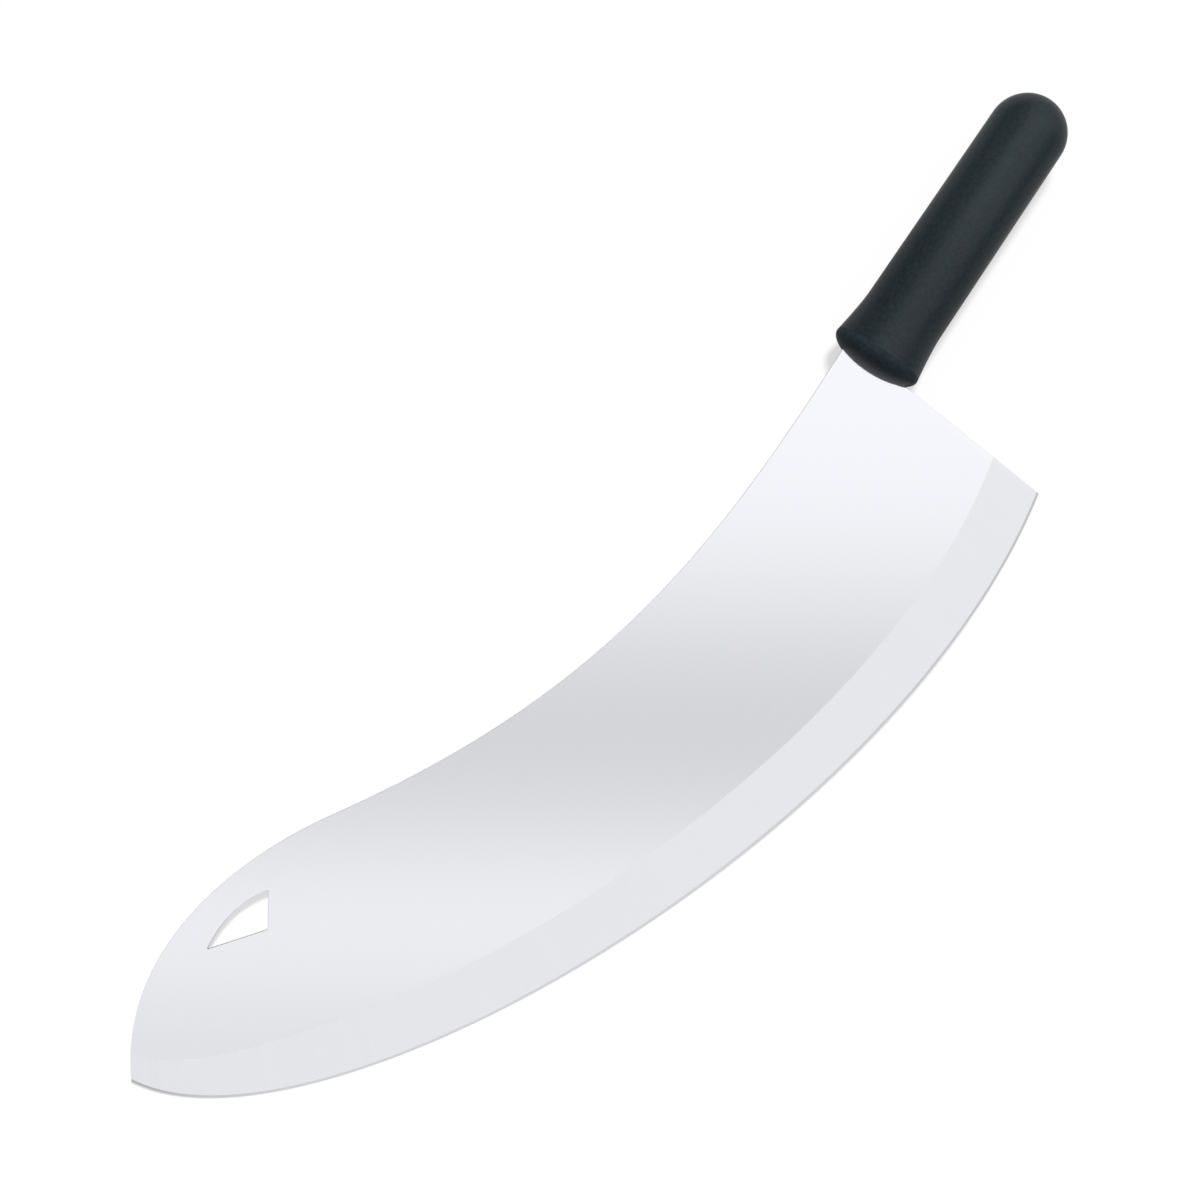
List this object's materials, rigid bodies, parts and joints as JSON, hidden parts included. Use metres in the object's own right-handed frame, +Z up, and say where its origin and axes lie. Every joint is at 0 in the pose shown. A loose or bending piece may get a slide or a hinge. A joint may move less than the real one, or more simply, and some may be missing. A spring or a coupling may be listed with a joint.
{
  "type": "mincing knife",
  "caption": "One-handed mincing knife: upswept steel blade with a deep curved edge, ground bevels and a hanging hole, pinned into a short round black handle.",
  "frame": {"origin": "on the table, under the middle of the knife's box, with the knife lying on its right side as it rests: belly of the edge and rim of the handle on the table", "axes": "+X from the blade's tip towards the butt of the handle, +Y towards the back of the blade, +Z up from the table, out of the blade's left side"},
  "size_m": [0.515, 0.188, 0.0401],
  "materials": {
    "blade_steel": "satin, with a ground bevel",
    "grip_plastic": "fine matte texture",
    "core_plastic": "as moulded",
    "pin_steel": "drawn rod"
  },
  "bodies": {
    "root": {"blade": "blade_steel", "grip": "grip_plastic", "core_left": "core_plastic", "core_right": "core_plastic", "tang_pin_front": "pin_steel", "tang_pin_rear": "pin_steel"}
  },
  "joints": []
}
